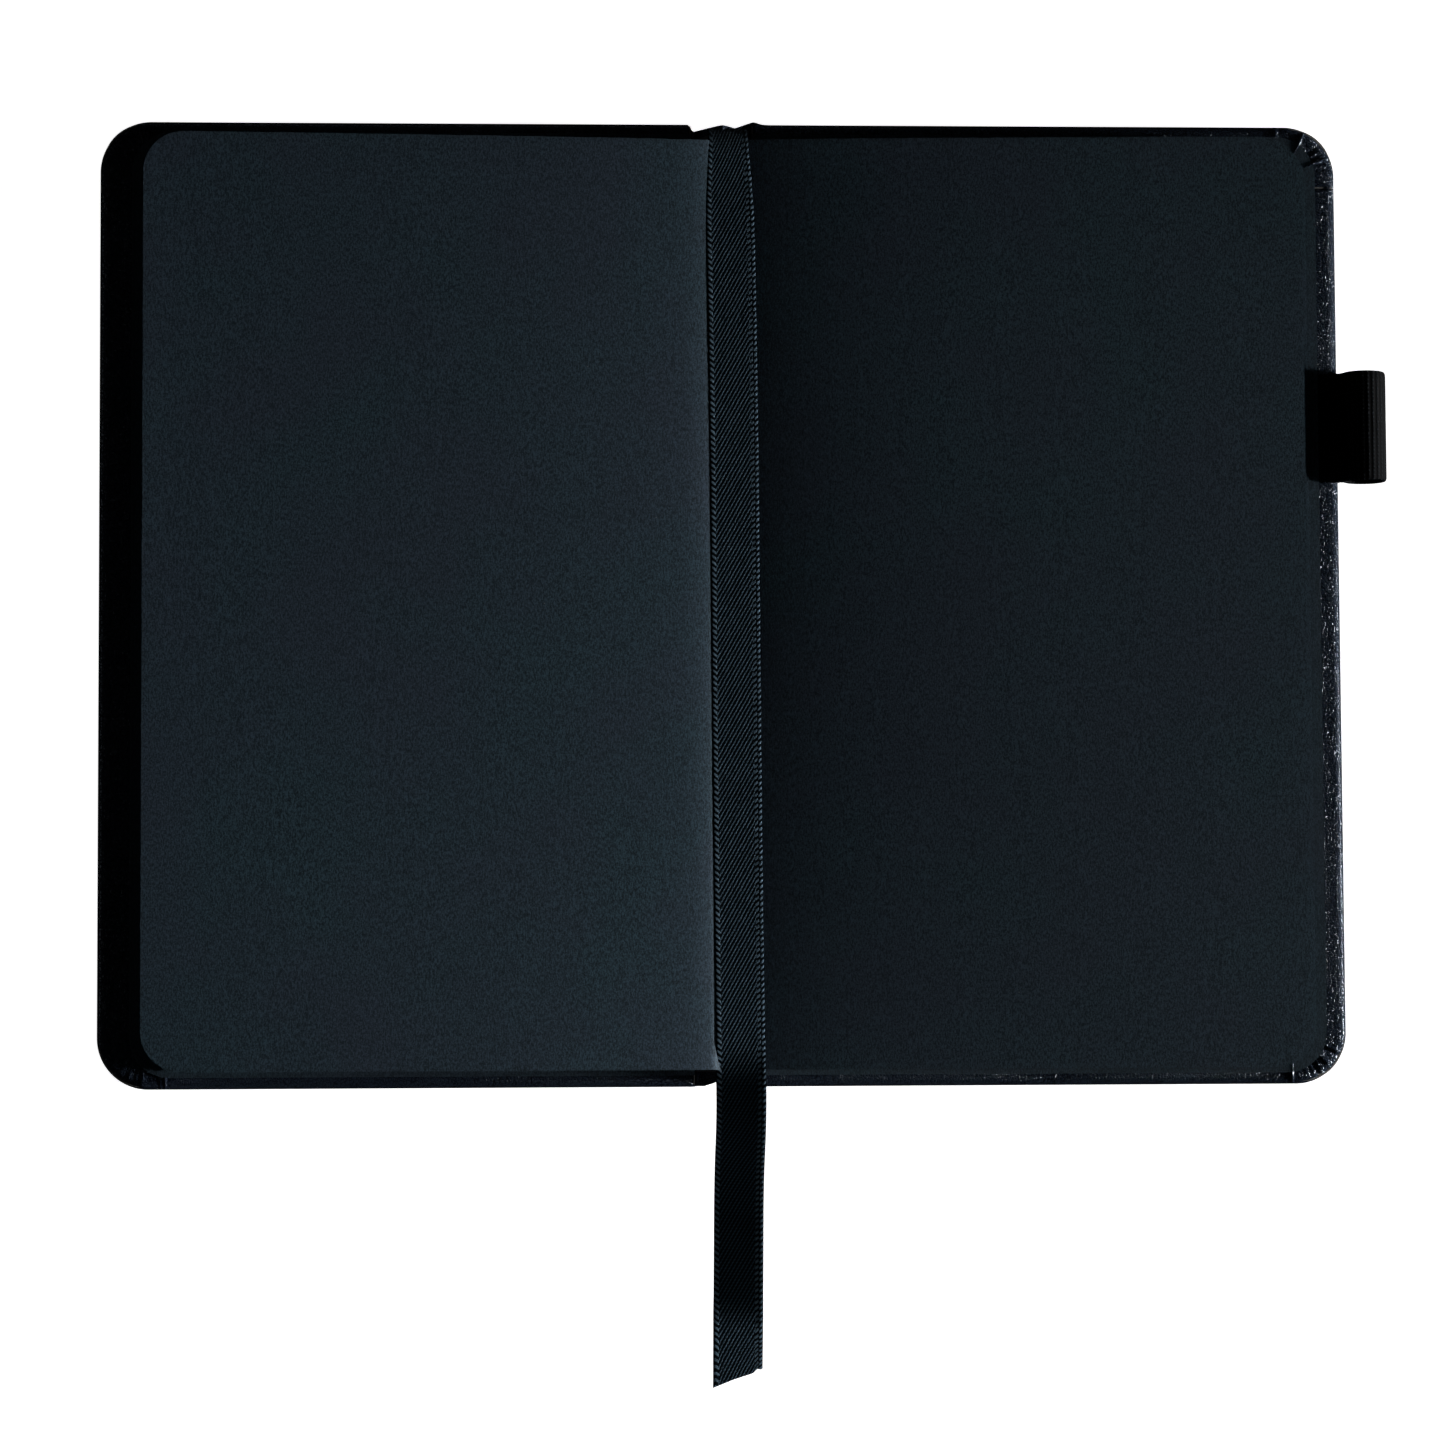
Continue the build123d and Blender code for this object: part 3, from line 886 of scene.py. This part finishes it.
def add_pages():
    """The packets between the covers, from the first leaf up, then the two open pages."""
    sheet_paper = paper()
    packets = {"front_flyleaf": single_leaf(-1, 0), "signature_1": signature(-1, 1),
               "signature_2": signature(-1, 9), "signature_3": signature(-1, 17),
               "back_flyleaf": single_leaf(1, 0), "signature_6": signature(1, 1),
               "signature_5": signature(1, 9)}
    for name, (points, faces) in packets.items():
        piece = new_piece(name + "_sheets", trim_head(points), faces, sheet_paper)
        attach(piece, "front_cover" if points[0][0] < 0 else "back_cover")
        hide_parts(name)
    points, faces = joined([open_sheet(25 + k, 17 + k) for k in range(3)])
    piece = new_piece("signature_4_sheets", trim_head(points), faces, sheet_paper)
    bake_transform(piece)
    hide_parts("signature_4_front", "signature_4_back")
    for side, body, cover in ((-1, "left_leaf", "front_cover"), (1, "right_leaf", "back_cover")):
        points, faces = top_page(side)
        piece = new_piece(body + "_page", trim_head(points), faces, sheet_paper)
        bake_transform(piece)
        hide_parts(body)


def dress_cad_nodes():
    """Materials of the pieces that stay as CAD nodes."""
    lining = woven("spine_cloth", CLOTH_DARK, CLOTH_PALE, pitch=0.45, roughness=0.8)
    thread = woven("linen_thread", THREAD_DARK, THREAD_PALE, pitch=0.3, roughness=0.6)
    finishes = {"board": greyboard(), "pastedown": paper("end_paper_black", True, 0.6),
                "spine_lining": lining, "sewing_thread": thread}
    for side in ("front_", "back_"):
        for part, material in finishes.items():
            wear(frame["nodes"][side + part], material)
    wear(frame["nodes"]["pen_loop_tab"], leather("tab_leather", True))


def wear(piece, material):
    piece.data.materials.clear()
    piece.data.materials.append(material)


# ---------------------------------------------------------------- studio

# The camera that the outline in the photograph was fitted with, in metres and radians
FOCAL_LENGTH = 117.42
SENSOR = 36.0
CAMERA_PLACE = (GUTTER - 0.03582, -0.06808, 0.7)
CAMERA_TURN = (0.07178, -0.05058, -0.00507)
FLOOR_HALF = 3
LIGHT_COLOUR = (0.97, 0.985, 1.0)


def add_camera():
    data = bpy.data.cameras.new("camera")
    data.sensor_width, data.lens = SENSOR, FOCAL_LENGTH
    data.clip_start, data.clip_end = 0.01, 20
    camera = bpy.data.objects.new("camera", data)
    camera.location = CAMERA_PLACE
    camera.rotation_euler = CAMERA_TURN
    bpy.context.scene.collection.objects.link(camera)
    bpy.context.scene.camera = camera


def add_light(name, azimuth, elevation, distance, size, power, aim=(0, 0, 0), spread=180):
    """A square soft box; azimuth 0 stands at +X and 90 at +Y."""
    data = bpy.data.lights.new(name, "AREA")
    data.size, data.energy, data.color = size, power, LIGHT_COLOUR
    data.spread = math.radians(spread)
    light = bpy.data.objects.new(name, data)
    a, e = math.radians(azimuth), math.radians(elevation)
    away = Vector((math.cos(a) * math.cos(e), math.sin(a) * math.cos(e), math.sin(e)))
    light.location = Vector(aim) + away * distance
    light.rotation_euler = (-away).to_track_quat("-Z", "Y").to_euler()
    bpy.context.scene.collection.objects.link(light)


def add_floor():
    mesh = bpy.data.meshes.new("floor")
    corners = [(-FLOOR_HALF, -FLOOR_HALF, 0), (FLOOR_HALF, -FLOOR_HALF, 0),
               (FLOOR_HALF, FLOOR_HALF, 0), (-FLOOR_HALF, FLOOR_HALF, 0)]
    mesh.from_pydata(corners, [], [(0, 1, 2, 3)])
    mesh.materials.append(floor_white())
    floor = bpy.data.objects.new("floor", mesh)
    floor.visible_diffuse = floor.visible_glossy = False
    bpy.context.scene.collection.objects.link(floor)


def add_lights():
    """A low key from the right, which grazes the pages, and weaker light from the other sides."""
    add_light("key", azimuth=-4, elevation=4.7, distance=2.6, size=0.5, power=2.65,
              aim=(0, -0.1, 0), spread=14)
    add_light("left_fill", azimuth=178, elevation=6, distance=2.2, size=0.8, power=1.6)
    add_light("front_fill", azimuth=-100, elevation=20, distance=0.6, size=0.3, power=0.05)
    add_light("back_fill", azimuth=95, elevation=7, distance=2.2, size=0.8, power=1)
    add_light("top_fill", azimuth=40, elevation=75, distance=2.4, size=0.7, power=0.27)
    add_light("tail_fill", azimuth=-90, elevation=60, distance=0.3, size=0.05, power=0.0011,
              aim=(GUTTER, -0.1, 0), spread=16)


def add_world():
    world = bpy.data.worlds.new("white_surround")
    world.use_nodes = True
    world.node_tree.nodes["Background"].inputs["Color"].default_value = WHITE
    world.cycles_visibility.diffuse = world.cycles_visibility.glossy = False
    bpy.context.scene.world = world
    bpy.context.scene.view_settings.view_transform = "Standard"


add_camera()
ribbon()
add_covering()
add_pages()
pen_loop()
dress_cad_nodes()
add_floor()
add_lights()
add_world()
